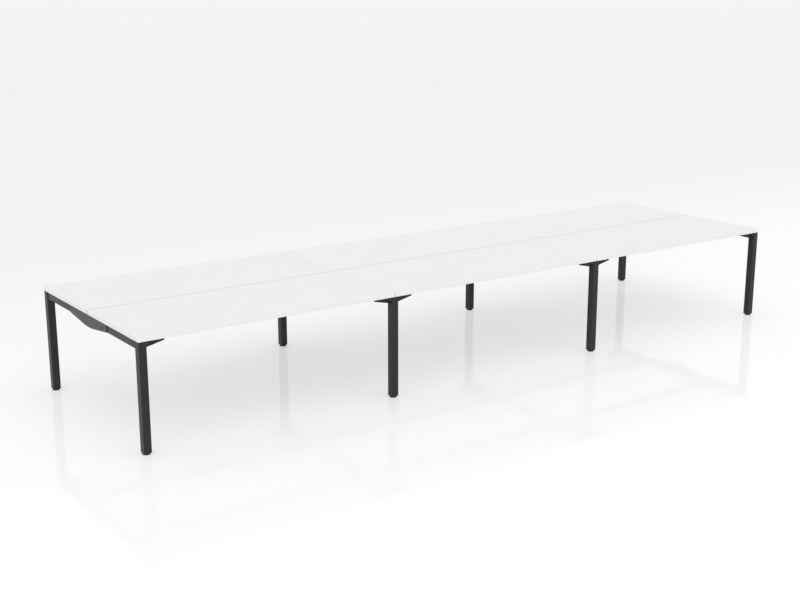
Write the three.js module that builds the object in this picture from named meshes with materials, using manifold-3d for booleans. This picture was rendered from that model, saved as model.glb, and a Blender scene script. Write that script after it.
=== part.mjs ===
// Benching desk: two facing rows of worktops on cross frames of black steel tube.
// Millimetres, +Z up. The origin is on the floor under the middle of the bench,
// +X runs along the bench and +Y from the front row to the rear row.
import * as THREE from 'three';
import { mergeVertices } from 'three/addons/utils/BufferGeometryUtils.js';
import Module from 'manifold-3d';

const wasm = await Module();
wasm.setup();

// Worktops
const bayCount = 3;
const deskHeight = 720;
const topLength = 1800;
const topDepth = 750;
const topThickness = 28;
const topCorner = 3; // plan radius of the edge band at a corner
const topArris = 1.5; // eased edge of the band, above and below
const bayGap = 2; // joint between neighbours in a row
const spineGap = 3; // joint between the two rows
const topOverhang = 2; // worktop edge past the outer faces of the legs

// Clearance between pieces that seat on or in each other
const fitGap = 0.3;

// Legs
const legSize = 50;
const legWall = 1.5;
const legCorner = 2;

// Cross rails
const railWidth = 40;
const railHeight = 50;
const railWall = 1.5;
const railCorner = 2;
const lockScrewHole = 7; // under each rail end, for the screw that locks the spigot
const lockScrewInset = 28; // from the rail end

// Leg heads: cap, spigots into leg and rail, and tapered arms along the bench
const capThickness = 4;
const legSpigotLength = 50;
const legSpigotWall = 5;
const railSpigotLength = 55;
const railSpigotWall = 4;
const spigotCorner = 1; // inside radius of both spigots
const armLength = 122; // from the face of the leg
const armRootWidth = 44;
const armTipWidth = 22;
const armTipCorner = 4;
const armRootDepth = 43;
const armTipDepth = 16;
const ribThickness = 10;
const shoeWidth = 34; // bearing shoe of the arm against the leg
const shoeThickness = 4;
const shoeCorner = 3;
const armScrewHole = 5.5;
const armScrewReach = 70; // from the face of the leg
const armScrewOffset = 11; // to each side of the middle of the rib

// End covers
const coverWidth = 572;
const coverThickness = 4.5;
const coverEndDepth = 50;
const coverMiddleDepth = 81;
const coverRound = 150; // length of the rounded stretch at the lowest point
const coverEdge = 0.8; // eased edge
const coverPegDiameter = 8;
const coverPegLength = 6;
const coverPegSpacing = 400;

// Long beams
const beamWidth = 30;
const beamHeight = 40;
const beamWall = 2;
const beamCorner = 3;
const plateWidth = 76;
const plateThickness = 4;
const plateCorner = 3;
const plateBoltHole = 9;
const plateBoltSpacing = 52;
const beamScrewHole = 5.5; // through the upper wall into the worktop
const beamAccessHole = 12; // through the lower wall, for the driver
const beamScrewSpacing = 900;
const beamScrewCount = 2;

// Levelling feet
const padHeight = 10;
const padFootDiameter = 48;
const padTopDiameter = 50;
const padShoulder = 4; // height at which the taper ends
const padEase = 1.5;
const padClearance = 1; // pad to plug with the foot screwed home
const buttonDiameter = 12;
const buttonHeight = 4;
const socketFloor = 3;
const neckDiameter = 9;
const hexAcross = 17;
const hexHeight = 5;
const threadDiameter = 10;
const threadLength = 42;
const threadChamfer = 1;

// Leg plugs
const plugFlange = 3;
const plugDepth = 38;
const plugWall = 3;
const plugWeb = 3;
const plugBoss = 26;

// Facets
const cornerFacet = 2; // about the length of one facet on a rounded corner
const padSides = 12; // on the foot pads
const boreSides = 8; // on studs, pegs, screw holes and bores
const curveSteps = 3; // on the arms and the boss of a plug
const coverSteps = 8; // on the rounded stretch of a cover
const arrisSteps = 2; // on the eased edge of a worktop

// Overlap of the pieces of one casting or moulding before they are joined
const blend = 1;

// Places that follow from the sizes above
const overallLength = bayCount * topLength + (bayCount - 1) * bayGap;
const overallDepth = 2 * topDepth + spineGap;
const topUnderside = deskHeight - topThickness;
const frameTop = topUnderside - fitGap;
const legY = overallDepth / 2 - topOverhang - legSize / 2;
const topY = (spineGap + topDepth) / 2;
const plugBottom = padHeight + padClearance;
const plugShelf = plugBottom + plugFlange;
const legBottom = plugShelf + fitGap;
const capBottom = frameTop - capThickness;
const legTop = capBottom - fitGap;
const legInside = legSize - 2 * legWall;
const legInsideCorner = legCorner - legWall;
const railInsideCorner = railCorner - railWall;
const railZ = frameTop - railHeight / 2;
const railLength = 2 * (legY - legSize / 2 - fitGap);
const railSpigotWidth = railWidth - 2 * (railWall + fitGap);
const railSpigotHeight = railHeight - 2 * (railWall + fitGap);
const legSpigotSize = legInside - 2 * fitGap;
const armRootX = legSize / 2 + fitGap;
const armTipX = legSize / 2 + armLength;
const hexBottom = padHeight + fitGap;
const hexTop = hexBottom + hexHeight;
const buttonBottom = socketFloor + fitGap;
const buttonTop = buttonBottom + buttonHeight;

function frameX(index) {
  const end = overallLength / 2 - topOverhang - legSize / 2;
  if (index === 0) return -end;
  if (index === bayCount) return end;
  return index * (topLength + bayGap) - bayGap / 2 - overallLength / 2;
}

// Radius of a faceted bore whose flats keep the clearance round a turned piece
function boreRadius(diameter, sides) {
  return (diameter / 2 + fitGap) / Math.cos(Math.PI / sides);
}

// Outlines
function roundedPoints(width, height, radius) {
  const points = [];
  const steps = Math.max(1, Math.round(radius * Math.PI / 2 / cornerFacet));
  for (let corner = 0; corner < 4; corner += 1) {
    const middle = (corner + 0.5) * Math.PI / 2;
    const centreX = Math.sign(Math.cos(middle)) * (width / 2 - radius);
    const centreY = Math.sign(Math.sin(middle)) * (height / 2 - radius);
    for (let step = 0; step <= steps; step += 1) {
      const angle = (corner + step / steps) * Math.PI / 2;
      const x = centreX + radius * Math.cos(angle);
      const y = centreY + radius * Math.sin(angle);
      points.push(new THREE.Vector2(x, y));
    }
  }
  return points;
}

function circlePoints(x, y, radius, sides = boreSides) {
  const points = [];
  for (let side = 0; side < sides; side += 1) {
    const angle = 2 * Math.PI * side / sides;
    points.push(new THREE.Vector2(x + radius * Math.cos(angle), y + radius * Math.sin(angle)));
  }
  return points;
}

function tubeSection(width, height, radius, wall, insideRadius = radius - wall) {
  const section = new THREE.Shape(roundedPoints(width, height, radius));
  const inside = roundedPoints(width - 2 * wall, height - 2 * wall, insideRadius);
  section.holes.push(new THREE.Path(inside));
  return section;
}

// Solids
function extrude(shape, depth) {
  return new THREE.ExtrudeGeometry(shape, { depth, bevelEnabled: false, curveSegments: curveSteps });
}

// Plate of the full outline and thickness, with all its edges eased
function easedPlate(shape, thickness, ease, steps, curve = curveSteps) {
  const plate = new THREE.ExtrudeGeometry(shape, {
    depth: thickness - 2 * ease,
    curveSegments: curve,
    bevelThickness: ease,
    bevelSize: ease,
    bevelOffset: -ease,
    bevelSegments: steps,
  });
  return plate.translate(0, 0, ease);
}

function alongX(geometry) {
  return geometry.rotateY(Math.PI / 2).rotateX(Math.PI / 2);
}

function alongY(geometry) {
  return geometry.rotateX(-Math.PI / 2);
}

function turned(profile, sides) {
  const points = profile.map(([radius, z]) => new THREE.Vector2(radius, z));
  return new THREE.LatheGeometry(points, sides).rotateX(Math.PI / 2);
}

function rod(diameter, length, sides = boreSides) {
  return extrude(new THREE.Shape(circlePoints(0, 0, diameter / 2, sides)), length);
}

function solidOf(geometry) {
  const bare = geometry.clone();
  bare.deleteAttribute('normal');
  bare.deleteAttribute('uv');
  const merged = mergeVertices(bare);
  const corners = merged.index.array;
  const triVerts = [];
  for (let first = 0; first < corners.length; first += 3) {
    const [a, b, c] = corners.slice(first, first + 3);
    const isTriangle = a !== b && b !== c && c !== a;
    if (isTriangle) triVerts.push(a, b, c);
  }
  const vertProperties = merged.attributes.position.array;
  return new wasm.Manifold(new wasm.Mesh({
    numProp: 3, vertProperties, triVerts: Uint32Array.from(triVerts),
  }));
}

function geometryOf(solid) {
  const mesh = solid.getMesh();
  const geometry = new THREE.BufferGeometry();
  geometry.setAttribute('position', new THREE.BufferAttribute(mesh.vertProperties, 3));
  geometry.setIndex(new THREE.BufferAttribute(mesh.triVerts, 1));
  geometry.computeVertexNormals();
  return geometry;
}

function join(...geometries) {
  const solids = geometries.map(solidOf);
  return geometryOf(solids.reduce((whole, solid) => whole.add(solid)));
}

function cut(geometry, tools) {
  const start = solidOf(geometry);
  return geometryOf(tools.reduce((whole, tool) => whole.subtract(solidOf(tool)), start));
}

// Worktop: board with an eased edge band
function worktop() {
  const outline = new THREE.Shape(roundedPoints(topLength, topDepth, topCorner));
  return easedPlate(outline, topThickness, topArris, arrisSteps).translate(0, 0, topUnderside);
}

// Leg: square tube, slotted at the top of its inner face for the rail spigot of the head
function legTube() {
  const section = tubeSection(legSize, legSize, legCorner, legWall);
  const tube = extrude(section, legTop - legBottom);
  const slotWidth = railSpigotWidth + 2 * fitGap;
  const slotBottom = railZ - railSpigotHeight / 2 - fitGap;
  const slot = new THREE.BoxGeometry(slotWidth, legSize, 2 * (legTop - slotBottom));
  slot.translate(0, legSize / 2, legTop);
  return cut(tube.translate(0, 0, legBottom), [slot]);
}

// Flange of one arm: tapers in plan to a blunt tip, with a screw hole on each side of the rib
function armFlange() {
  const tip = armTipWidth / 2;
  const flange = new THREE.Shape();
  flange.moveTo(0, -armRootWidth / 2);
  flange.lineTo(legSize / 2, -armRootWidth / 2);
  flange.lineTo(armTipX - armTipCorner, -tip);
  flange.quadraticCurveTo(armTipX, -tip, armTipX, armTipCorner - tip);
  flange.lineTo(armTipX, tip - armTipCorner);
  flange.quadraticCurveTo(armTipX, tip, armTipX - armTipCorner, tip);
  flange.lineTo(legSize / 2, armRootWidth / 2);
  flange.lineTo(0, armRootWidth / 2);
  for (const side of [-1, 1]) {
    const x = legSize / 2 + armScrewReach;
    const hole = circlePoints(x, side * armScrewOffset, armScrewHole / 2);
    flange.holes.push(new THREE.Path(hole));
  }
  return extrude(flange, capThickness).translate(0, 0, capBottom);
}

// Rib of one arm: deep at the leg, tapered to a blunt tip
function armRib() {
  const ribTop = frameTop - capThickness / 2;
  const rootZ = frameTop - armRootDepth;
  const tipZ = frameTop - armTipDepth;
  const rib = new THREE.Shape();
  rib.moveTo(armRootX, ribTop);
  rib.lineTo(armRootX, rootZ);
  rib.lineTo(armRootX + shoeThickness, rootZ);
  rib.lineTo(armTipX, tipZ);
  rib.lineTo(armTipX, ribTop);
  return extrude(rib, ribThickness).rotateX(Math.PI / 2).translate(0, ribThickness / 2, 0);
}

// Shoe of one arm: the plate at the root of the rib that bears on the leg
function armShoe() {
  const height = armRootDepth - capThickness / 2;
  const plate = extrude(new THREE.Shape(roundedPoints(shoeWidth, height, shoeCorner)), shoeThickness);
  return alongX(plate).translate(armRootX, 0, frameTop - armRootDepth + height / 2);
}

// Leg head: one casting that joins a leg, a rail and the worktops
function legHead(armSides) {
  const cap = extrude(new THREE.Shape(roundedPoints(legSize, legSize, legCorner)), capThickness);
  cap.translate(0, 0, capBottom);

  const legSection = tubeSection(
    legSpigotSize, legSpigotSize, legInsideCorner, legSpigotWall, spigotCorner,
  );
  const legSpigot = extrude(legSection, legSpigotLength + blend);
  legSpigot.translate(0, 0, capBottom - legSpigotLength);

  const railSection = tubeSection(
    railSpigotWidth, railSpigotHeight, railInsideCorner, railSpigotWall, spigotCorner,
  );
  const railStart = legSpigotSize / 2 - blend;
  const railEnd = legSize / 2 + fitGap + railSpigotLength;
  const railSpigot = alongY(extrude(railSection, railEnd - railStart)).translate(0, railStart, railZ);

  const pieces = [cap, legSpigot, railSpigot];
  for (const side of armSides) {
    const heading = side > 0 ? 0 : Math.PI;
    for (const part of [armFlange(), armRib(), armShoe()]) pieces.push(part.rotateZ(heading));
  }
  return join(...pieces);
}

// Cross rail: upright tube, drilled for the lock screws and, at an end of the bench, the cover pegs
function crossRail(coverSides) {
  const section = tubeSection(railWidth, railHeight, railCorner, railWall);
  const tube = alongY(extrude(section, railLength)).translate(0, -railLength / 2, railZ);
  const drills = [];
  for (const end of [-1, 1]) {
    const lock = rod(lockScrewHole, railHeight);
    drills.push(lock.translate(0, end * (railLength / 2 - lockScrewInset), railZ - railHeight));
  }
  for (const side of coverSides) {
    for (const peg of [-1, 1]) {
      const drill = alongX(rod(2 * boreRadius(coverPegDiameter, boreSides), railWidth));
      drill.rotateZ(side > 0 ? 0 : Math.PI);
      drills.push(drill.translate(0, peg * coverPegSpacing / 2, railZ));
    }
  }
  return cut(tube, drills);
}

// End cover: plate whose lower edge falls in a shallow V to a rounded middle, on two pegs
function endCover() {
  const half = coverWidth / 2;
  const round = coverRound / 2;
  const fall = (coverMiddleDepth - coverEndDepth) / (half - round / 2);
  const roundDepth = coverEndDepth + fall * (half - round);
  const crossDepth = coverEndDepth + fall * half;
  const outline = new THREE.Shape();
  outline.moveTo(half, 0);
  outline.lineTo(-half, 0);
  outline.lineTo(-half, -coverEndDepth);
  outline.lineTo(-round, -roundDepth);
  outline.quadraticCurveTo(0, -crossDepth, round, -roundDepth);
  outline.lineTo(half, -coverEndDepth);
  const plateX = railWidth / 2 + fitGap;
  const plate = easedPlate(outline, coverThickness, coverEdge, 1, coverSteps);
  const pieces = [alongX(plate).translate(plateX, 0, frameTop)];
  for (const peg of [-1, 1]) {
    const pin = alongX(rod(coverPegDiameter, coverPegLength + blend));
    pieces.push(pin.translate(plateX - coverPegLength, peg * coverPegSpacing / 2, railZ));
  }
  return join(...pieces);
}

// Long beam: tube through two welded end plates, drilled for bolts and worktop screws
function longBeam(length) {
  const outer = new THREE.Shape(roundedPoints(beamWidth, beamHeight, beamCorner));
  const innerWidth = beamWidth - 2 * beamWall;
  const innerHeight = beamHeight - 2 * beamWall;
  const inner = new THREE.Shape(roundedPoints(innerWidth, innerHeight, beamCorner - beamWall));
  const plate = new THREE.Shape(roundedPoints(plateWidth, beamHeight, plateCorner));
  for (const bolt of [-1, 1]) {
    const hole = circlePoints(bolt * plateBoltSpacing / 2, 0, plateBoltHole / 2);
    plate.holes.push(new THREE.Path(hole));
  }
  const firstPlate = alongX(extrude(plate, plateThickness)).translate(-length / 2, 0, 0);
  const lastPlate = firstPlate.clone().translate(length - plateThickness, 0, 0);
  const tube = alongX(extrude(outer, length)).translate(-length / 2, 0, 0);
  const core = alongX(extrude(inner, 2 * length)).translate(-length, 0, 0);
  const drills = [core];
  for (let screw = 0; screw < beamScrewCount; screw += 1) {
    const x = (screw - (beamScrewCount - 1) / 2) * beamScrewSpacing;
    drills.push(rod(beamScrewHole, beamHeight).translate(x, 0, 0));
    drills.push(rod(beamAccessHole, beamHeight).translate(x, 0, -beamHeight));
  }
  return cut(join(tube, firstPlate, lastPlate), drills).translate(0, 0, frameTop - beamHeight / 2);
}

// Leg plug: flanged insert with cross webs and a threaded boss, hollowed round the boss
function plugCavity(quarter) {
  const inner = legSpigotSize / 2 - plugWall;
  const web = plugWeb / 2;
  const boss = plugBoss / 2;
  const first = Math.asin(web / boss);
  const points = [[inner, web], [inner, inner], [web, inner]].map(([x, y]) => new THREE.Vector2(x, y));
  for (let step = 0; step <= curveSteps; step += 1) {
    const angle = Math.PI / 2 - first - (Math.PI / 2 - 2 * first) * step / curveSteps;
    points.push(new THREE.Vector2(boss * Math.cos(angle), boss * Math.sin(angle)));
  }
  const origin = new THREE.Vector2();
  return new THREE.Path(points.map((point) => point.rotateAround(origin, quarter * Math.PI / 2)));
}

function legPlug() {
  const bore = circlePoints(0, 0, boreRadius(threadDiameter, boreSides));
  const body = new THREE.Shape(roundedPoints(legSpigotSize, legSpigotSize, legInsideCorner));
  body.holes.push(new THREE.Path(bore));
  for (let quarter = 0; quarter < 4; quarter += 1) body.holes.push(plugCavity(quarter));
  const flange = new THREE.Shape(roundedPoints(legSize, legSize, legCorner));
  flange.holes.push(new THREE.Path(bore));
  const hexCorners = hexAcross / Math.cos(Math.PI / 6);
  const recess = rod(2 * boreRadius(hexCorners, boreSides), hexTop + fitGap - plugBottom + blend);
  const whole = join(
    extrude(flange, plugFlange).translate(0, 0, plugBottom),
    extrude(body, plugDepth + blend).translate(0, 0, plugShelf - blend),
  );
  return cut(whole, [recess.translate(0, 0, plugBottom - blend)]);
}

// Levelling stud: swivel button, neck, spanner hexagon and thread
function levellingStud() {
  const thread = threadDiameter / 2;
  const threadTop = hexTop + threadLength;
  const shank = turned([
    [0, buttonBottom],
    [buttonDiameter / 2, buttonBottom],
    [buttonDiameter / 2, buttonTop],
    [neckDiameter / 2, buttonTop],
    [neckDiameter / 2, hexTop - blend],
    [thread, hexTop - blend],
    [thread, threadTop - threadChamfer],
    [thread - threadChamfer, threadTop],
    [0, threadTop],
  ], boreSides);
  const hexCorners = hexAcross / Math.cos(Math.PI / 6);
  return join(shank, rod(hexCorners, hexHeight, 6).translate(0, 0, hexBottom));
}

// Foot pad: round glide with a lipped socket for the stud's button
function footPad() {
  const foot = padFootDiameter / 2;
  const top = padTopDiameter / 2;
  const socket = boreRadius(buttonDiameter, padSides);
  const mouth = boreRadius(neckDiameter, padSides);
  const lip = buttonTop + fitGap;
  return turned([
    [0, 0],
    [foot - padEase, 0],
    [foot, padEase],
    [top, padShoulder],
    [top, padHeight - padEase],
    [top - padEase, padHeight],
    [mouth, padHeight],
    [mouth, lip],
    [socket, lip],
    [socket, socketFloor],
    [0, socketFloor],
  ], padSides);
}

// Finishes
const finishes = {
  board: { color: 0xecedee, roughness: 0.42, metalness: 0 },
  powderCoat: { color: 0x25262a, roughness: 0.5, metalness: 0.1 },
  cover: { color: 0x2d2f34, roughness: 0.42, metalness: 0.1 },
  blackPlastic: { color: 0x17181a, roughness: 0.55, metalness: 0 },
  zinc: { color: 0xb4b8bb, roughness: 0.35, metalness: 0.9 },
};

function piece(name, geometry, finish) {
  const mesh = new THREE.Mesh(geometry, new THREE.MeshStandardMaterial(finishes[finish]));
  mesh.name = name;
  return mesh;
}

// Assembly
const rows = [
  { name: 'front', side: -1, turn: 0 },
  { name: 'rear', side: 1, turn: Math.PI },
];
const desk = new THREE.Group();

for (let frame = 0; frame <= bayCount; frame += 1) {
  const baySides = [-1, 1].filter((side) => (side < 0 ? frame > 0 : frame < bayCount));
  const openSides = [-1, 1].filter((side) => !baySides.includes(side));
  const number = frame + 1;

  for (const row of rows) {
    const corner = new THREE.Group();
    corner.position.set(frameX(frame), row.side * legY, 0);
    corner.rotation.z = row.turn;
    const armSides = baySides.map((side) => -row.side * side);
    corner.add(piece(`leg_${row.name}_${number}`, legTube(), 'powderCoat'));
    corner.add(piece(`leg_head_${row.name}_${number}`, legHead(armSides), 'powderCoat'));
    corner.add(piece(`leg_plug_${row.name}_${number}`, legPlug(), 'blackPlastic'));
    corner.add(piece(`levelling_stud_${row.name}_${number}`, levellingStud(), 'zinc'));
    corner.add(piece(`foot_pad_${row.name}_${number}`, footPad(), 'blackPlastic'));
    desk.add(corner);
  }

  const rail = piece(`cross_rail_${number}`, crossRail(openSides), 'powderCoat');
  rail.position.x = frameX(frame);
  desk.add(rail);

  for (const side of openSides) {
    const cover = piece(`end_cover_${side < 0 ? 'left' : 'right'}`, endCover(), 'cover');
    cover.position.x = frameX(frame);
    cover.rotation.z = side > 0 ? 0 : Math.PI;
    desk.add(cover);
  }
}

for (let bay = 0; bay < bayCount; bay += 1) {
  const start = frameX(bay) + railWidth / 2 + fitGap;
  const end = frameX(bay + 1) - railWidth / 2 - fitGap;
  const topX = (bay + 0.5) * topLength + bay * bayGap - overallLength / 2;
  for (const row of rows) {
    const beam = piece(`long_beam_${row.name}_${bay + 1}`, longBeam(end - start), 'powderCoat');
    beam.position.set((start + end) / 2, row.side * topY, 0);
    const top = piece(`worktop_${row.name}_${bay + 1}`, worktop(), 'board');
    top.position.set(topX, row.side * topY, 0);
    desk.add(beam, top);
  }
}

export default desk;
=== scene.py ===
import math

import bmesh
import bpy
from mathutils import Matrix, Vector


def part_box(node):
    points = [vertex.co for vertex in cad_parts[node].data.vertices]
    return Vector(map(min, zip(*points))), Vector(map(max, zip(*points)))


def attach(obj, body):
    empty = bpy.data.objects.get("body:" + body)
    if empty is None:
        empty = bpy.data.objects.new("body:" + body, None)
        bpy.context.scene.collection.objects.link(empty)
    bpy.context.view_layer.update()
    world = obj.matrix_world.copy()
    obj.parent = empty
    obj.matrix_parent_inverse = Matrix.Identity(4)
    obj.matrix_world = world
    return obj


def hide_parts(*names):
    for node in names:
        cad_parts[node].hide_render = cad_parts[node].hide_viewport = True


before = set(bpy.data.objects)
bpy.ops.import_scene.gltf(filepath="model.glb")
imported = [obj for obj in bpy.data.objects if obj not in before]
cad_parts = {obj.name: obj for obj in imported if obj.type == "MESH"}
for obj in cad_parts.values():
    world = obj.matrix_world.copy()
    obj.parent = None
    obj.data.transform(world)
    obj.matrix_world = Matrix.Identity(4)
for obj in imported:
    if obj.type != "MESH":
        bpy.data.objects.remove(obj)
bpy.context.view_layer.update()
print("frame loaded with", len(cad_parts), "solids")

mm = 0.001
rowNames = ("front", "rear")
frameNumbers = (1, 2, 3, 4)
bayNumbers = (1, 2, 3)

# Camera, fitted to the seams, corners and feet of the photograph
camera = {
    "position": (-5.5066, -7.2708, 2.764),
    "turn": 35.454,
    "tilt": 14.687,
    "lens": 56.989,
    "sensor": 36,
    "sight": 3000,
}


def placeCamera():
    data = bpy.data.cameras.new("photoCamera")
    data.lens = camera["lens"]
    data.sensor_width = camera["sensor"]
    data.clip_end = camera["sight"]
    eye = bpy.data.objects.new("photoCamera", data)
    eye.location = camera["position"]
    eye.rotation_euler = (math.radians(90 - camera["tilt"]), 0, math.radians(-camera["turn"]))
    bpy.context.scene.collection.objects.link(eye)
    bpy.context.scene.camera = eye


placeCamera()
bpy.context.scene.view_settings.view_transform = "Standard"
print("camera set")


# A shader socket that takes part in sums
class Wire:
    def __init__(self, finish, socket):
        self.finish = finish
        self.socket = socket

    def maths(self, operation, first, second):
        return self.finish.node("ShaderNodeMath", {"operation": operation}, {0: first, 1: second})

    def __add__(self, other):
        return self.maths("ADD", self, other)

    __radd__ = __add__

    def __sub__(self, other):
        return self.maths("SUBTRACT", self, other)

    def __rsub__(self, other):
        return self.maths("SUBTRACT", other, self)

    def __mul__(self, other):
        return self.maths("MULTIPLY", self, other)

    __rmul__ = __mul__

    def swing(self, amount):
        return amount * (self - 0.5)  # noise lies about a half

    def between(self, low, high):
        settings = {"interpolation_type": "SMOOTHSTEP"}
        return self.finish.node("ShaderNodeMapRange", settings, {0: self, 1: low, 2: high})


# One node tree, of a material or of the world
class Finish:
    def __init__(self, owner):
        owner.use_nodes = True
        self.owner = owner
        self.tree = owner.node_tree
        self.tree.nodes.clear()

    def node(self, kind, settings=None, sockets=None, out=0):
        made = self.tree.nodes.new(kind)
        for key, value in (settings or {}).items():
            setattr(made, key, value)
        for key, value in (sockets or {}).items():
            if isinstance(value, Wire):
                self.tree.links.new(value.socket, made.inputs[key])
            else:
                made.inputs[key].default_value = value
        return Wire(self, made.outputs[out]) if made.outputs else made

    def place(self, stretch=(1, 1, 1)):
        where = self.node("ShaderNodeTexCoord", out="Object")
        return self.node("ShaderNodeVectorMath", {"operation": "MULTIPLY"}, {0: where, 1: stretch})

    def along(self, axis):
        where = self.node("ShaderNodeTexCoord", out="Object")
        return self.node("ShaderNodeSeparateXYZ", {}, {0: where}, out=axis)

    def distance(self):
        return self.node("ShaderNodeVectorMath", {"operation": "LENGTH"}, {0: self.place()}, out="Value")

    def noise(self, scale, detail=2, stretch=(1, 1, 1)):
        sockets = {"Vector": self.place(stretch), "Scale": scale, "Detail": detail}
        return self.node("ShaderNodeTexNoise", {}, sockets)

    def tint(self, mask, low, high):
        lowSocket, highSocket, result = 6, 7, 2  # the Mix node's colours
        sockets = {0: mask}
        for key, colour in ((lowSocket, low), (highSocket, high)):
            sockets[key] = colour if isinstance(colour, Wire) else (*colour, 1)
        return self.node("ShaderNodeMix", {"data_type": "RGBA"}, sockets, out=result)

    def bump(self, height, strength, depth):
        sockets = {"Strength": strength, "Distance": depth, "Height": height}
        return self.node("ShaderNodeBump", {}, sockets)

    def surface(self, **sockets):
        named = {key.replace("_", " "): value for key, value in sockets.items()}
        shader = self.node("ShaderNodeBsdfPrincipled", {}, named)
        self.node("ShaderNodeOutputMaterial", {}, {"Surface": shader})
        return self.owner


def newFinish(name):
    return Finish(bpy.data.materials.new(name))


# Melamine face: near white, with a fine pearl grain
melamine = {
    "low": (0.768, 0.769, 0.771),
    "high": (0.816, 0.817, 0.818),
    "grain": 900,
    "cloud": 3,
    "cloudShare": 0.5,
    "wipe": 9,
    "wipeStretch": (1, 5, 1),
    "rough": 0.4,
    "grainRough": 0.08,
    "wipeRough": 0.09,
    "bump": 0.6,
    "depth": 0.00004,
}
# Partly painted light: the band is whiter than the board face, in part its own tone and in part standing in
# for light on the upright edges
edgeBandLit = {
    **melamine,
    "low": (0.868, 0.872, 0.877),
    "high": (0.88, 0.883, 0.887),
    "grain": 1500,
    "rough": 0.46,
}
# Painted shade: band faces in the joints between worktops are grey, standing in for the shade that falls in
# the gap
paintedJointShade = {
    **melamine,
    "low": (0.34, 0.34, 0.34),
    "high": (0.44, 0.44, 0.44),
}


def melamineFinish(name, look):
    finish = newFinish(name)
    grain = finish.noise(look["grain"], detail=3)
    cloud = finish.noise(look["cloud"], detail=3)
    wipe = finish.noise(look["wipe"], detail=4, stretch=look["wipeStretch"])
    share = look["cloudShare"]
    colour = finish.tint(share * cloud + (1 - share) * grain, look["low"], look["high"])
    rough = look["rough"] + grain.swing(look["grainRough"]) + wipe.swing(look["wipeRough"])
    normal = finish.bump(grain, look["bump"], look["depth"])
    return finish.surface(Base_Color=colour, Roughness=rough, Normal=normal)


# Powder coat: orange peel over steel, darker on the legs as painted shade, and scraped near the floor
steelCoat = {
    "low": (0.0195, 0.0198, 0.0215),
    "high": (0.0285, 0.029, 0.0315),
    "peel": 620,
    "cloud": 5,
    "cloudShare": 0.55,
    "rough": 0.43,
    "cloudRough": 0.12,
    "peelRough": 0.1,
    "grit": 0.3,
    "gritFineness": 4,
    "bump": 0.7,
    "depth": 0.0001,
    "shine": 0.35,
}
# Painted shade: the legs' coat is a darker copy of the rails' coat, standing in for the light the worktops
# keep off the legs; the scrapes near the floor are wear
shadedLegCoat = {
    **steelCoat,
    "low": (0.0155, 0.0157, 0.017),
    "high": (0.0225, 0.0228, 0.0248),
    "shine": 0.3,
    "worn": (0.085, 0.085, 0.085),
    "wornBelow": (0.02, 0.16),
    "wornShare": 0.5,
    "wornRough": 0.2,
    "scrape": 55,
    "scrapeStretch": (1, 1, 0.25),
    "scrapeEdge": (0.62, 0.74),
}
castCoat = {
    **steelCoat,
    "low": (0.0145, 0.0147, 0.016),
    "high": (0.0215, 0.0218, 0.0235),
    "peel": 380,
    "rough": 0.5,
    "depth": 0.0002,
    "shine": 0.3,
}
coverCoat = {
    **steelCoat,
    "low": (0.030, 0.031, 0.034),
    "high": (0.038, 0.0393, 0.0432),
    "peel": 1100,
    "rough": 0.4,
    "depth": 0.00005,
    "shine": 0.4,
}
screwCoat = {
    **castCoat,
    "peel": 1500,
    "rough": 0.36,
    "depth": 0.00002,
}


def coatFinish(name, look):
    finish = newFinish(name)
    peel = finish.noise(look["peel"], detail=2)
    grit = finish.noise(look["gritFineness"] * look["peel"], detail=1)
    cloud = finish.noise(look["cloud"], detail=3)
    share = look["cloudShare"]
    colour = finish.tint(share * cloud + (1 - share) * peel, look["low"], look["high"])
    rough = look["rough"] + cloud.swing(look["cloudRough"]) + peel.swing(look["peelRough"])
    if "worn" in look:
        marks = finish.noise(look["scrape"], detail=4, stretch=look["scrapeStretch"])
        above = finish.along("Z").between(*look["wornBelow"])
        worn = look["wornShare"] * marks.between(*look["scrapeEdge"]) * (1 - above)
        colour = finish.tint(worn, colour, look["worn"])
        rough = rough + look["wornRough"] * worn
    normal = finish.bump(peel + look["grit"] * grit, look["bump"], look["depth"])
    shine = look["shine"]
    return finish.surface(Base_Color=colour, Roughness=rough, Normal=normal, Specular_IOR_Level=shine)


# Moulded nylon: spark texture, scuffed where it meets the floor
nylon = {
    "low": (0.011, 0.011, 0.0115),
    "high": (0.017, 0.017, 0.0175),
    "spark": 1900,
    "cloud": 60,
    "dust": (0.09, 0.088, 0.085),
    "dustBelow": (0.0, 0.005),
    "dustShare": 0.6,
    "dustRough": 0.2,
    "speck": 240,
    "speckEdge": (0.5, 0.75),
    "rough": 0.52,
    "sparkRough": 0.14,
    "bump": 0.6,
    "depth": 0.00004,
}


def nylonFinish(name, look):
    finish = newFinish(name)
    spark = finish.noise(look["spark"], detail=2)
    cloud = finish.noise(look["cloud"], detail=3)
    specks = finish.noise(look["speck"], detail=4).between(*look["speckEdge"])
    dust = specks * (1 - finish.along("Z").between(*look["dustBelow"]))
    black = finish.tint(cloud, look["low"], look["high"])
    colour = finish.tint(look["dustShare"] * dust, black, look["dust"])
    rough = look["rough"] + spark.swing(look["sparkRough"]) + look["dustRough"] * dust
    normal = finish.bump(spark, look["bump"], look["depth"])
    return finish.surface(Base_Color=colour, Roughness=rough, Normal=normal)


# Zinc plate: bright steel with a faint turned grain
zinc = {
    "low": (0.52, 0.54, 0.55),
    "high": (0.68, 0.69, 0.68),
    "bloom": 140,
    "grain": 900,
    "grainStretch": (1, 1, 6),
    "rough": 0.3,
    "bloomRough": 0.22,
    "grainRough": 0.1,
    "bump": 0.5,
    "depth": 0.00001,
}


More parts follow.
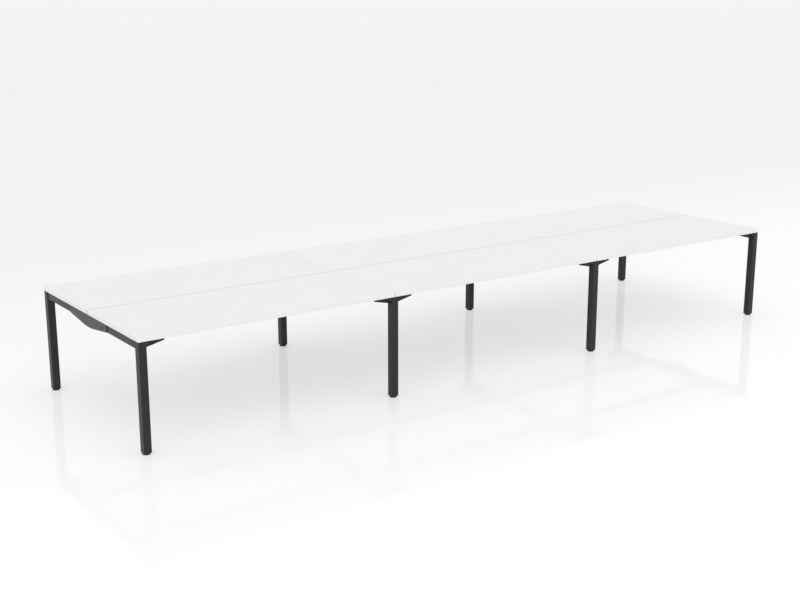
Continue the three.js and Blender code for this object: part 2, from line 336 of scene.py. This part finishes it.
def zincFinish(name, look):
    finish = newFinish(name)
    bloom = finish.noise(look["bloom"], detail=4)
    grain = finish.noise(look["grain"], detail=2, stretch=look["grainStretch"])
    colour = finish.tint(bloom, look["low"], look["high"])
    rough = look["rough"] + bloom.swing(look["bloomRough"]) + grain.swing(look["grainRough"])
    normal = finish.bump(grain, look["bump"], look["depth"])
    return finish.surface(Base_Color=colour, Roughness=rough, Metallic=1.0, Normal=normal)


boardFinish = melamineFinish("melamineFace", melamine)
bandLitFinish = melamineFinish("edgeBandLit", edgeBandLit)
jointShadeFinish = melamineFinish("paintedJointShade", paintedJointShade)
tubeFinish = coatFinish("powderCoat", steelCoat)
shadedLegFinish = coatFinish("shadedLegCoat", shadedLegCoat)
headFinish = coatFinish("castCoat", castCoat)
plateFinish = coatFinish("coverCoat", coverCoat)
plasticFinish = nylonFinish("blackNylon", nylon)
screwFinish = zincFinish("zincPlate", zinc)
blackScrewFinish = coatFinish("blackScrew", screwCoat)
print("finishes made")


# Outlines, in millimetres
def arc(x, y, radius, start, sweep=90, steps=8):  # start and sweep in degrees
    points = []
    for step in range(steps + 1):
        angle = math.radians(start + sweep * step / steps)
        points.append((x + radius * math.cos(angle), y + radius * math.sin(angle)))
    return points


def roundRect(width, depth, radius, z=0.0, steps=8):
    x = width / 2 - radius
    y = depth / 2 - radius
    points = []
    for index, centre in enumerate(((x, y), (-x, y), (-x, -y), (x, -y))):
        points += arc(*centre, radius, 90 * index, steps=steps)
    return [Vector((*point, z)) for point in points]


def circle(radius, z=0.0, count=48):
    angles = [2 * math.pi * step / count for step in range(count)]
    return [Vector((radius * math.cos(angle), radius * math.sin(angle), z)) for angle in angles]


def hexagon(across, z, limit=math.inf, count=48):
    ring = []
    for step in range(count):
        angle = 2 * math.pi * step / count
        radius = min(limit, across / 2 / math.cos(angle % (math.pi / 3) - math.pi / 6))
        ring.append(Vector((radius * math.cos(angle), radius * math.sin(angle), z)))
    return ring


# A line through corners given as x, y and the radius of the arc that eases them
def rounded(corners, steps=6):
    points = []
    for index, (x, y, radius) in enumerate(corners):
        here = Vector((x, y))
        if not radius:
            points.append(here)
            continue
        before = (Vector(corners[index - 1][:2]) - here).normalized()
        after = (Vector(corners[index + 1][:2]) - here).normalized()
        half = before.angle(after) / 2
        centre = here + (before + after).normalized() * radius / math.sin(half)
        start = here + before * radius / math.tan(half) - centre
        end = here + after * radius / math.tan(half) - centre
        points += [centre + radius * start.slerp(end, step / steps) for step in range(steps + 1)]
    return points


# Rings made from other rings
def roundedTo(ring, radius, z):
    return [Vector((point.x, point.y, 0)).normalized() * radius + Vector((0, 0, z)) for point in ring]


def inset(ring, distance, z, leastShare=0.3):
    points = []
    for index, point in enumerate(ring):
        before = (point - ring[index - 1]).to_2d().normalized()
        after = (ring[(index + 1) % len(ring)] - point).to_2d().normalized()
        inward = Vector((-before.y - after.y, before.x + after.x)).normalized()
        share = max(leastShare, inward.dot(Vector((-before.y, before.x))))
        points.append(Vector((*(point.to_2d() + inward * distance / share), z)))
    return points


def dense(ring, longest):
    points = []
    for index, point in enumerate(ring):
        reach = ring[(index + 1) % len(ring)] - point
        count = max(1, math.ceil(reach.length / longest))
        points += [point + reach * step / count for step in range(count)]
    return points


# Solids lofted through rings, in metres
def loft(rings, wrap=False):
    mesh = bmesh.new()
    rows = [[mesh.verts.new(point * mm) for point in ring] for ring in rings]
    pairs = list(zip(rows, rows[1:]))
    if wrap:
        pairs.append((rows[-1], rows[0]))
    else:
        mesh.faces.new(rows[0])
        mesh.faces.new(rows[-1])
    for low, high in pairs:
        for index in range(len(low)):
            after = (index + 1) % len(low)
            mesh.faces.new((low[index], low[after], high[after], high[index]))
    bmesh.ops.recalc_face_normals(mesh, faces=mesh.faces)
    return mesh


def stacked(ring, levels):
    return loft([inset(ring, distance, z) for distance, z in levels])


# A plate with a chamfered back and a rounded front edge
def roundedPlate(ring, thickness, back, front, halfway=0.3):
    bow = halfway * front
    levels = [(back, 0), (0, back), (0, thickness - front), (bow, thickness - bow), (front, thickness)]
    return stacked(ring, levels)


def moved(mesh, *matrices):
    for matrix in matrices:
        mesh.transform(matrix)
    return mesh


def shift(x, y, z):
    return Matrix.Translation(Vector((x, y, z)) * mm)


def gathered(meshes):
    whole = bmesh.new()
    for mesh in meshes:
        data = bpy.data.meshes.new("part")
        mesh.to_mesh(data)
        mesh.free()
        whole.from_mesh(data)
        bpy.data.meshes.remove(data)
    return whole


def copies(mesh, matrices):
    parts = [moved(mesh.copy(), matrix) for matrix in matrices]
    mesh.free()
    return gathered(parts)


def combined(mesh, others, operation, sliver=0.002):
    things = []
    for part in (mesh, *others):
        data = bpy.data.meshes.new("part")
        part.to_mesh(data)
        part.free()
        thing = bpy.data.objects.new("part", data)
        bpy.context.scene.collection.objects.link(thing)
        things.append(thing)
    for other in things[1:]:
        step = things[0].modifiers.new("combine", "BOOLEAN")
        step.operation = operation
        step.solver = "EXACT"
        step.object = other
    solved = things[0].evaluated_get(bpy.context.evaluated_depsgraph_get())
    data = bpy.data.meshes.new_from_object(solved)
    result = bmesh.new()
    result.from_mesh(data)
    bmesh.ops.dissolve_degenerate(result, dist=sliver * mm, edges=result.edges)
    for thing in things:
        old = thing.data
        bpy.data.objects.remove(thing)
        bpy.data.meshes.remove(old)
    bpy.data.meshes.remove(data)
    return result


# Turns that lay a solid's height along X or Y, or point it down
alongX = Matrix(((0, 0, 1, 0), (1, 0, 0, 0), (0, 1, 0, 0), (0, 0, 0, 1)))
alongY = Matrix(((0, 1, 0, 0), (0, 0, 1, 0), (1, 0, 0, 0), (0, 0, 0, 1)))
downward = Matrix.Rotation(math.pi, 4, "X")


def meshData(name, mesh, finish, crease=32):
    data = bpy.data.meshes.new(name)
    mesh.to_mesh(data)
    mesh.free()
    data.materials.append(finish)
    data.shade_smooth()
    data.set_sharp_from_angle(angle=math.radians(crease))
    return data


# A piece rides on a body and may stand for a solid of the frame
def put(name, data, body, node=None, at=(0, 0, 0), turn=0):
    thing = bpy.data.objects.new(name, data)
    thing.location = at
    thing.rotation_euler = (0, 0, turn)
    bpy.context.scene.collection.objects.link(thing)
    thing.modifiers.new("flatFaces", "WEIGHTED_NORMAL").keep_sharp = True
    bpy.context.view_layer.update()
    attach(thing, body)
    if node:
        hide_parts(node)


def middle(node):
    low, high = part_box(node)
    return (low + high) / 2


def legPlace(row, number):
    spot = middle(f"leg_{row}_{number}")
    return (spot.x, spot.y, 0)


# Heights that several pieces share, in millimetres
legLow, legHigh = (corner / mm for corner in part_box("leg_front_1"))
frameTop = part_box("leg_head_front_1")[1].z / mm

# Worktops: a board with a thick edge band all round, painted darker where it meets the next one, as shade
# in the joint
worktop = {
    "band": 2.0,
    "bandEase": 0.12,
    "boardEase": 0.25,
    "corner": 3.0,
    "leastCorner": 0.4,
    "cornerSteps": 6,
    "arris": 1.5,
    "arrisSteps": 5,
    "joint": 0.12,
    "sideShade": 0.9,
    "endShade": 0.1,
    "crease": 40,
}


def worktopMeshes():
    low, high = (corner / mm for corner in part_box("worktop_front_1"))
    length, depth, thickness = high - low

    def outline(distance, z):
        radius = max(worktop["leastCorner"], worktop["corner"] - distance)
        return roundRect(length - 2 * distance, depth - 2 * distance, radius, z, worktop["cornerSteps"])

    band = worktop["band"]
    seam = band + worktop["joint"]
    ease = worktop["boardEase"]
    board = [(seam + ease, 0), (seam, ease), (seam, thickness - ease), (seam + ease, thickness)]
    boardRings = [outline(*level) for level in board]
    ease = worktop["bandEase"]
    arris = worktop["arris"]
    steps = worktop["arrisSteps"]
    strip = [(band, ease), (band - ease, 0)]
    strip += arc(arris, arris, arris, 270, -90, steps)
    strip += arc(arris, thickness - arris, arris, 180, -90, steps)
    strip += [(band - ease, thickness), (band, thickness - ease)]
    stripRings = [outline(*level) for level in strip]
    return loft(boardRings), loft(stripRings, wrap=True)


# Gives a band the painted joint shade, a grey standing in for the shade in the gap, at its joined ends and
# along its joined side
def paintJointShade(data, size, ends, side):
    data.materials.append(jointShadeFinish)
    endLimit = size.x / 2 - worktop["endShade"] * mm
    sideLimit = size.y / 2 - worktop["sideShade"] * mm
    for face in data.polygons:
        atEnd = any(end * face.center.x > endLimit for end in ends)
        if atEnd or side * face.center.y > sideLimit:
            face.material_index = 1


boardMesh, bandMesh = worktopMeshes()
boardData = meshData("board", boardMesh, boardFinish)
joinedEnds = {1: (1,), 2: (-1, 1), 3: (-1,)}
for row, side in zip(rowNames, (1, -1)):
    for bay in bayNumbers:
        node = f"worktop_{row}_{bay}"
        low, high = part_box(node)
        spot = middle(node)
        spot.z = low.z
        put(f"board_{row}_{bay}", boardData, "bench", node, spot)
        bandData = meshData(f"band_{row}_{bay}", bandMesh.copy(), bandLitFinish, worktop["crease"])
        paintJointShade(bandData, high - low, joinedEnds[bay], side)
        put(f"band_{row}_{bay}", bandData, "bench", None, spot)
bandMesh.free()
print("worktops done")

# Legs: square tube with eased ends
leg = {
    "size": 50.0,
    "wall": 1.5,
    "corner": 2.0,
    "ease": 0.4,
}


def tubeMesh(width, depth, corner, wall, low, high, ease):
    def outer(distance, z):
        return roundRect(width - 2 * distance, depth - 2 * distance, corner - distance, z)

    rings = [outer(ease, low), outer(0, low + ease), outer(0, high - ease), outer(ease, high)]
    rings += [outer(wall, high), outer(wall, low)]
    return loft(rings, wrap=True)


legMesh = tubeMesh(leg["size"], leg["size"], leg["corner"], leg["wall"], legLow.z, legHigh.z, leg["ease"])
legData = meshData("leg", legMesh, shadedLegFinish)
for row in rowNames:
    for number in frameNumbers:
        node = f"leg_{row}_{number}"
        put(f"{node}_tube", legData, "bench", node, legPlace(row, number))
print("legs done")

# Leg heads: a cap with tapered arms, each a flange on a rib that springs from a bearing shoe
head = {
    "cap": 4.0,
    "capEase": 0.5,
    "root": 25.3,
    "reach": 147.0,
    "rootWidth": 44.0,
    "tipWidth": 22.0,
    "tipCorner": 4.0,
    "flangeEdge": 1.2,
    "flangeBow": 0.35,
    "flangeRim": 0.4,
    "flangeDrop": 0.05,
    "rootDepth": 43.0,
    "tipDepth": 16.0,
    "rib": 10.0,
    "ribTip": 8.8,
    "ribEdge": 1.2,
    "ribSteps": 36,
    "fillet": 2.0,
    "overlap": 1.0,
    "shoe": (34.0, 41.0, 4.0),  # width, height, thickness
    "shoeCorner": 3.0,
    "shoeBack": 0.3,
    "shoeFront": 1.0,
    "screwReach": 95.0,
    "screwOffset": 11.2,
    "boltOffset": 11.0,
    "boltDrop": 17.5,
}


def flangeMesh():
    rootHalf = head["rootWidth"] / 2
    tip = (head["reach"], -head["tipWidth"] / 2, head["tipCorner"])
    near = [(0, -rootHalf, 0), (leg["size"] / 2, -rootHalf, 0), tip]
    far = [(x, -y, radius) for x, y, radius in reversed(near)]
    ring = [point.to_3d() for point in rounded(near + far)]
    base = frameTop - head["cap"]
    edge = head["flangeEdge"]
    bow = head["flangeBow"]
    levels = [(edge, base), (bow, base + bow), (0, base + edge)]
    levels += [(0, frameTop - head["flangeRim"]), (bow, frameTop - head["flangeDrop"])]
    return stacked(ring, levels)


def ribMesh():
    cap = head["cap"]
    fillet = head["fillet"]
    edge = head["ribEdge"]
    start = head["root"] + head["overlap"]
    rings = []
    for step in range(head["ribSteps"] + 1):
        share = step / head["ribSteps"]
        x = start + (head["reach"] - start) * share
        depth = head["rootDepth"] + (head["tipDepth"] - head["rootDepth"]) * share
        half = (head["rib"] + (head["ribTip"] - head["rib"]) * share) / 2
        side = [(half + fillet, head["overlap"] - cap)]
        side += arc(half + fillet, -cap - fillet, fillet, 90, steps=4)
        side += arc(half - edge, edge - depth, edge, 0, -90, steps=3)
        whole = side + [(-y, z) for y, z in reversed(side)]
        rings.append([Vector((x, y, frameTop + z)) for y, z in whole])
    return loft(rings)


def shoeMesh():
    width, height, thickness = head["shoe"]
    ring = roundRect(width, height, head["shoeCorner"])
    shoe = roundedPlate(ring, thickness, head["shoeBack"], head["shoeFront"])
    z = frameTop - head["rootDepth"] + height / 2
    return moved(shoe, alongX, shift(head["root"], 0, z))


def headMesh(arms):
    ring = roundRect(leg["size"], leg["size"], leg["corner"])
    base = frameTop - head["cap"]
    ease = head["capEase"]
    cap = stacked(ring, [(ease, base), (0, base + ease), (0, frameTop - ease), (ease, frameTop)])
    parts = []
    for turn in arms:
        heading = Matrix.Rotation(turn, 4, "Z")
        parts += [moved(mesh, heading) for mesh in (flangeMesh(), ribMesh(), shoeMesh())]
    return combined(cap, parts, "UNION")


def armTurns(number):
    return {1: (0,), 4: (math.pi,)}.get(number, (0, math.pi))


headData = {
    1: meshData("headSingle", headMesh((0,)), headFinish),
    2: meshData("headDouble", headMesh((0, math.pi)), headFinish),
}
for row in rowNames:
    for number in frameNumbers:
        turns = armTurns(number)
        data = headData[len(turns)]
        node = f"leg_head_{row}_{number}"
        put(f"head_{row}_{number}", data, "bench", node, legPlace(row, number), turns[0])
print("leg heads done")

# Cross rails: upright tube between the legs
rail = {
    "width": 40.0,
    "height": 50.0,
    "wall": 1.5,
    "corner": 2.0,
    "ease": 0.4,
    "screwInset": 28.0,
}
railLow, railHigh = (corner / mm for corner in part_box("cross_rail_1"))
railEnd = (railHigh.y - railLow.y) / 2
railShape = (rail["height"], rail["width"], rail["corner"], rail["wall"])
railMesh = tubeMesh(*railShape, -railEnd, railEnd, rail["ease"])
railData = meshData("rail", moved(railMesh, alongY), tubeFinish)
for number in frameNumbers:
    node = f"cross_rail_{number}"
    put(f"rail_{number}", railData, "bench", node, middle(node))
print("cross rails done")

# End covers: a shallow vee plate with a rounded middle, pressed to the rail
cover = {
    "half": 286.0,
    "ends": 50.0,
    "middle": 81.0,
    "round": 75.0,
    "roundSteps": 24,
    "corner": 2.5,
    "thickness": 4.5,
    "backEdge": 0.3,
    "frontEdge": 1.0,
    "gap": 0.3,
    "crease": 40,
}


def coverMesh():
    half = cover["half"]
    ends = cover["ends"]
    reach = cover["round"]
    fall = (cover["middle"] - ends) / (half - reach / 2)
    roundDepth = ends + fall * (half - reach)
    crossDepth = ends + fall * half
    corners = [(-half, 0, 0), (-half, -ends, cover["corner"])]
    for step in range(cover["roundSteps"] + 1):
        share = step / cover["roundSteps"]
        drop = roundDepth * ((1 - share) ** 2 + share ** 2) + 2 * crossDepth * share * (1 - share)
        corners.append((reach * (2 * share - 1), -drop, 0))
    corners += [(half, -ends, cover["corner"]), (half, 0, 0)]
    ring = [point.to_3d() for point in rounded(corners)]
    plate = roundedPlate(ring, cover["thickness"], cover["backEdge"], cover["frontEdge"])
    return moved(plate, alongX, shift(rail["width"] / 2 + cover["gap"], 0, frameTop))


coverData = meshData("cover", coverMesh(), plateFinish, cover["crease"])
for name, number, turn in (("left", 1, math.pi), ("right", 4, 0)):
    spot = middle(f"cross_rail_{number}")
    put(f"cover_{name}", coverData, "bench", f"end_cover_{name}", (spot.x, 0, 0), turn)
print("end covers done")

# Long beams: drilled tube, with welded end plates bolted to the rails
beam = {
    "width": 30.0,
    "height": 40.0,
    "wall": 2.0,
    "corner": 3.0,
    "ease": 0.2,
    "access": 12.0,
    "accessSpacing": 900.0,
    "accessSides": 32,
    "drill": 10.0,
    "plate": (76.0, 40.0, 4.0),  # width, height, thickness
    "plateCorner": 3.0,
    "plateBack": 0.3,
    "plateFront": 0.6,
    "bead": 3.0,
    "beadSag": 0.16,
    "beadSteps": 4,
    "beadRoot": -0.1,
    "beadSpacing": 1.4,
    "ripple": 0.12,
    "ripplePace": 2.1,
    "beadCrease": 50,
    "boltOffset": 26.0,
}


def beamMesh(length):
    end = length / 2 - beam["plate"][2]
    tube = tubeMesh(beam["width"], beam["height"], beam["corner"], beam["wall"], -end, end, beam["ease"])
    drills = []
    for side in (-1, 1):
        ends = (-beam["drill"], beam["drill"])
        drill = loft([circle(beam["access"] / 2, z, beam["accessSides"]) for z in ends])
        drills.append(moved(drill, shift(side * beam["accessSpacing"] / 2, 0, -beam["height"] / 2)))
    return combined(moved(tube, alongX), [gathered(drills)], "DIFFERENCE")


def plateMesh():
    width, height, thickness = beam["plate"]
    back = beam["plateBack"]
    front = beam["plateFront"]
    ring = roundRect(width, height, beam["plateCorner"])
    levels = [(back, 0), (0, back), (0, thickness - front), (front, thickness)]
    return moved(stacked(ring, levels), alongX)


def beadMesh():
    path = dense(roundRect(beam["width"], beam["height"], beam["corner"], steps=6), beam["beadSpacing"])
    outward = [far - near for far, near in zip(inset(path, -1, 0), path)]
    profile = [(beam["beadRoot"], 0)]
    for step in range(beam["beadSteps"] + 1):
        angle = math.pi / 2 * step / beam["beadSteps"]
        reach = 1 - beam["beadSag"] * math.sin(2 * angle)
        profile.append((reach * math.cos(angle), reach * math.sin(angle)))
    profile.append((beam["beadRoot"], 1))
    rings = []
    for out, up in profile:
        ring = []
        for index, (point, way) in enumerate(zip(path, outward)):
            width = beam["bead"] * (1 + beam["ripple"] * math.sin(beam["ripplePace"] * index))
            ring.append(point + way * out * width + Vector((0, 0, up * beam["bead"])))
        rings.append(ring)
    return moved(loft(rings, wrap=True), alongX)


# Hexagons, with radii as shares of the size across the flats
hexShape = {
    "corner": 0.57,
    "chamfer": 0.48,
    "face": 0.47,
}
plateBolt = {
    "across": 13.0,
    "flange": 8.6,
    "rim": 1.04,
    "cone": 2.08,
    "flats": (2.4, 7.04),
    "height": 8.0,
}


def plateBoltMesh():
    across = plateBolt["across"]
    corner = across * hexShape["corner"]
    rings = [circle(plateBolt["flange"], z) for z in (0, plateBolt["rim"])]
    rings.append(circle(corner, plateBolt["cone"]))
    rings += [hexagon(across, z, corner) for z in plateBolt["flats"]]
    return loft(rings + [hexagon(across, plateBolt["height"], across * hexShape["chamfer"])])


beamData = {}
plateSpots = []
for row in rowNames:
    for bay in bayNumbers:
        node = f"long_beam_{row}_{bay}"
        low, high = (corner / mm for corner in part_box(node))
        length = round(high.x - low.x, 2)
        if length not in beamData:
            beamData[length] = meshData(f"beam{len(beamData)}", beamMesh(length), tubeFinish)
        put(f"beam_{row}_{bay}", beamData[length], "bench", node, middle(node))
        y = (low.y + high.y) / 2
        z = (low.z + high.z) / 2
        plateSpots.append(shift(low.x, y, z))
        plateSpots.append(shift(high.x, y, z) @ Matrix.Rotation(math.pi, 4, "Z"))
plates = copies(plateMesh(), plateSpots)
put("beamPlates", meshData("beamPlates", plates, tubeFinish), "bench")
faceSpots = [spot @ shift(beam["plate"][2], 0, 0) for spot in plateSpots]
beads = copies(beadMesh(), faceSpots)
put("beamWelds", meshData("beamWelds", beads, tubeFinish, beam["beadCrease"]), "bench")
boltSpots = []
for spot in faceSpots:
    for side in (-1, 1):
        boltSpots.append(spot @ shift(0, side * beam["boltOffset"], 0) @ alongX)
bolts = copies(plateBoltMesh(), boltSpots)
put("beamBolts", meshData("beamBolts", bolts, screwFinish), "bench")
print("long beams done")

# Button screws of arms, shoes and rails, each with radius, height and key size
screws = {
    "arm": (4.0, 2.6, 3.0),
    "shoe": (3.9, 2.6, 3.0),
    "rail": (5.6, 3.0, 4.0),
    "dome": 0.65,  # shares of the height
    "socketFloor": 0.35,
}


def buttonHead(radius, height, key):
    shape = rounded([(radius, 0, 0), (radius, height, screws["dome"] * height), (0, height, 0)])
    rings = [circle(across, up) for across, up in shape[:-1]]
    return loft(rings + [hexagon(key, height), hexagon(key, screws["socketFloor"] * height)])


screwSpots = {"arm": [], "shoe": [], "rail": []}
for row in rowNames:
    for number in frameNumbers:
        for turn in armTurns(number):
            arm = Matrix.Translation(legPlace(row, number)) @ Matrix.Rotation(turn, 4, "Z")
            shoeFace = head["root"] + head["shoe"][2]
            for side in (-1, 1):
                under = shift(head["screwReach"], side * head["screwOffset"], frameTop - head["cap"])
                screwSpots["arm"].append(arm @ under @ downward)
                front = shift(shoeFace, side * head["boltOffset"], frameTop - head["boltDrop"])
                screwSpots["shoe"].append(arm @ front @ alongX)
for number in frameNumbers:
    low, high = (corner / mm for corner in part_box(f"cross_rail_{number}"))
    for y in (low.y + rail["screwInset"], high.y - rail["screwInset"]):
        screwSpots["rail"].append(shift((low.x + high.x) / 2, y, low.z) @ downward)
screwGroups = (
    ("armScrews", "arm", screwFinish, "leg_head"),
    ("shoeBolts", "shoe", screwFinish, "leg_head"),
    ("railScrews", "rail", blackScrewFinish, "cross_rail"),
)
for name, kind, finish, slot in screwGroups:
    heads = copies(buttonHead(*screws[kind]), screwSpots[kind])
    put(name, meshData(name, heads, finish), "bench")
print("screws and bolts done")

# Leg plugs: flanged insert with a recess for the stud's hexagon
plug = {
    "flange": 3.0,
    "ease": 0.8,
    "easeBow": 0.2,
    "shelfEase": 0.3,
    "recess": 10.4,
    "recessTop": 4.6,
    "lip": 0.4,
    "bore": 5.06,
    "rim": 1.8,
    "spacing": 2.0,
}


def plugMesh():
    low, top = (corner.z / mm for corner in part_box("leg_plug_front_1"))
    flange = dense(roundRect(leg["size"], leg["size"], leg["corner"]), plug["spacing"])
    shelf = low + plug["flange"]
    ceiling = low + plug["recessTop"]
    recess = plug["recess"]
    lip = plug["lip"]
    ease = plug["ease"]
    bow = plug["easeBow"]
    inner = [(plug["bore"], ceiling), (recess, ceiling), (recess, low + lip), (recess + lip, low)]
    outer = [(ease, low), (bow, low + bow), (0, low + ease), (0, shelf - plug["shelfEase"])]
    outer += [(plug["shelfEase"], shelf), (plug["rim"], shelf), (plug["rim"], top)]
    rings = [roundedTo(flange, radius, z) for radius, z in inner]
    rings += [inset(flange, distance, z) for distance, z in outer]
    return loft(rings + [roundedTo(flange, plug["bore"], top)], wrap=True)


# Levelling studs: swivel button, neck, chamfered hexagon and a cut thread
stud = {
    "button": (12.0, 3.3, 7.3),  # across, low, high
    "buttonFoot": 0.5,
    "buttonRim": 0.3,
    "neck": 9.0,
    "hex": (17.0, 10.3, 15.3),  # across, low, high
    "hexRim": 0.1,
    "hexChamfer": 0.9,
    "major": 5.0,
    "minor": 4.08,
    "pitch": 1.5,
    "flank": 2.6,
    "trough": 0.15,
    "sides": 48,
    "turnSteps": 8,
    "top": 57.3,
    "tip": 1.0,
    "tipTaper": 1.1,
    "crease": 24,
}


def threadRing(z):
    ring = []
    for step in range(stud["sides"]):
        angle = 2 * math.pi * step / stud["sides"]
        phase = (z / stud["pitch"] - step / stud["sides"]) % 1
        crest = min(1, max(0, stud["flank"] * abs(phase - 0.5) - stud["trough"]))
        radius = stud["minor"] + (stud["major"] - stud["minor"]) * crest
        inTip = max(0, z - stud["top"] + stud["tip"])
        radius = min(radius, stud["major"] - stud["tipTaper"] * inTip)
        ring.append(Vector((radius * math.cos(angle), radius * math.sin(angle), z)))
    return ring


def studMesh():
    across, buttonLow, buttonHigh = stud["button"]
    foot = stud["buttonFoot"]
    rim = stud["buttonRim"]
    radius = across / 2
    turned = [(radius - foot, buttonLow), (radius, buttonLow + foot), (radius, buttonHigh - rim)]
    turned += [(radius - rim, buttonHigh), (stud["neck"] / 2, buttonHigh)]
    flats, hexLow, hexHigh = stud["hex"]
    face, chamfer, corner = (flats * hexShape[key] for key in ("face", "chamfer", "corner"))
    turned += [(stud["neck"] / 2, hexLow), (face, hexLow)]
    rings = [circle(*level) for level in turned]
    rings.append(hexagon(flats, hexLow + stud["hexRim"], chamfer))
    rings.append(hexagon(flats, hexLow + stud["hexChamfer"], corner))
    rings.append(hexagon(flats, hexHigh - stud["hexChamfer"], corner))
    rings.append(hexagon(flats, hexHigh - stud["hexRim"], chamfer))
    rings.append(circle(face, hexHigh))
    count = round((stud["top"] - hexHigh) / stud["pitch"] * stud["turnSteps"])
    rings += [threadRing(hexHigh + (stud["top"] - hexHigh) * step / count) for step in range(count + 1)]
    return loft(rings)


# Foot pads: turned nylon glide with a rounded rim and a socket for the stud's button
pad = {
    "height": 10.0,
    "base": 20.0,
    "foot": (23.5, 1.8),  # radius, ease
    "shoulder": (25.0, 4.0, 5.0),  # radius, height, ease
    "rim": (25.0, 1.6),  # radius, ease
    "dish": (10.6, 10.2, 0.3),  # rim, floor, depth
    "neck": (4.62, 0.28),  # radius, ease
    "socket": (6.15, 3.0, 7.6),  # radius, low, high
    "sides": 72,
}


def padMesh():
    top = pad["height"]
    foot, footEase = pad["foot"]
    rim, rimEase = pad["rim"]
    dishRim, dishFloor, dishDepth = pad["dish"]
    neck, neckEase = pad["neck"]
    socket, socketLow, socketHigh = pad["socket"]
    floor = top - dishDepth
    profile = [(pad["base"], 0, 0), (foot, 0, footEase), pad["shoulder"], (rim, top, rimEase)]
    profile += [(dishRim, top, 0), (dishFloor, floor, 0)]
    profile += [(neck + neckEase, floor, 0), (neck, floor - neckEase, 0)]
    profile += [(neck, socketHigh, 0), (socket, socketHigh, 0), (socket, socketLow, 0)]
    return loft([circle(radius, z, pad["sides"]) for radius, z in rounded(profile)])


plugData = meshData("plug", plugMesh(), plasticFinish)
studData = meshData("stud", studMesh(), screwFinish, stud["crease"])
padData = meshData("pad", padMesh(), plasticFinish)
for row in rowNames:
    for number in frameNumbers:
        spot = legPlace(row, number)
        tag = f"{row}_{number}"
        put(f"plug_{tag}", plugData, "bench", f"leg_plug_{tag}", spot)
        put(f"stud_{tag}_screw", studData, f"stud_{tag}", f"levelling_stud_{tag}", spot)
        put(f"pad_{tag}_glide", padData, f"pad_{tag}", f"foot_pad_{tag}", spot)
print("feet done")

# Stage: a wide pale floor, a white surround and soft lamps from above and from the front
stage = {
    "floor": (0.97, 0.97, 0.972),
    "cloud": 0.6,
    "rough": 0.06,
    "cloudRough": 0.02,
    "shine": 0.16,
    "white": (1.0, 1.0, 1.0),
    "far": (0.72, 0.716, 0.72),
    "paintedFalloff": (-1.5, 6.0),
    "horizonWhite": (120.0, 220.0),
    "lift": 0.4,
    "reach": 600.0,
    "world": 0.82,
}
lamps = (
    {"name": "overhead", "energy": 0.5, "angle": 85, "tilt": (0, 0, 0)},
    {"name": "front", "energy": 0.45, "angle": 70, "tilt": (60, 0, -24)},
)


# 1 for the rays that show the surround itself, to the eye or in gloss and glass
def seenRays(finish):
    rays = ("Is Camera Ray", "Is Glossy Ray", "Is Transmission Ray")
    parts = [finish.node("ShaderNodeLightPath", out=ray) for ray in rays]
    return parts[0] + parts[1] + parts[2]


def floorFinish():
    finish = newFinish("studioFloor")
    rough = stage["rough"] + finish.noise(stage["cloud"], detail=2).swing(stage["cloudRough"])
    sockets = {"Base Color": (*stage["floor"], 1), "Roughness": rough, "Specular IOR Level": stage["shine"]}
    matte = finish.node("ShaderNodeBsdfPrincipled", {}, sockets)
    # Painted light: the floor shows white in front, dims to grey further back and turns white again towards
    # the horizon
    near = 1 - finish.distance().between(*stage["horizonWhite"])
    paintedFalloff = finish.along("Y").between(*stage["paintedFalloff"]) * near
    glow = finish.tint(paintedFalloff, stage["white"], stage["far"])
    white = finish.node("ShaderNodeEmission", {}, {"Color": glow})
    lift = stage["lift"] * seenRays(finish)
    lit = finish.node("ShaderNodeMixShader", {}, {0: lift, 1: matte, 2: white})
    below = finish.node("ShaderNodeNewGeometry", out="Backfacing")
    clear = finish.node("ShaderNodeBsdfTransparent")
    whole = finish.node("ShaderNodeMixShader", {}, {0: below, 1: lit, 2: clear})
    finish.node("ShaderNodeOutputMaterial", {}, {"Surface": whole})
    return finish.owner


def makeFloor():
    reach = stage["reach"]
    corners = [(-reach, -reach, 0), (reach, -reach, 0), (reach, reach, 0), (-reach, reach, 0)]
    data = bpy.data.meshes.new("floor")
    data.from_pydata(corners, [], [(0, 1, 2, 3)])
    data.materials.append(floorFinish())
    floor = bpy.data.objects.new("floor", data)
    bpy.context.scene.collection.objects.link(floor)
    return floor


def makeLamp(look):
    data = bpy.data.lights.new(look["name"], "SUN")
    data.energy = look["energy"]
    data.angle = math.radians(look["angle"])
    lamp = bpy.data.objects.new(look["name"], data)
    lamp.rotation_euler = [math.radians(angle) for angle in look["tilt"]]
    bpy.context.scene.collection.objects.link(lamp)
    return lamp


def makeWorld():
    world = bpy.data.worlds.new("surround")
    bpy.context.scene.world = world
    finish = Finish(world)
    level = stage["world"] + (1 - stage["world"]) * seenRays(finish)
    light = finish.node("ShaderNodeBackground", {}, {"Color": (*stage["white"], 1), "Strength": level})
    finish.node("ShaderNodeOutputWorld", {}, {"Surface": light})


makeFloor()
[makeLamp(look) for look in lamps]
makeWorld()
print("stage set")
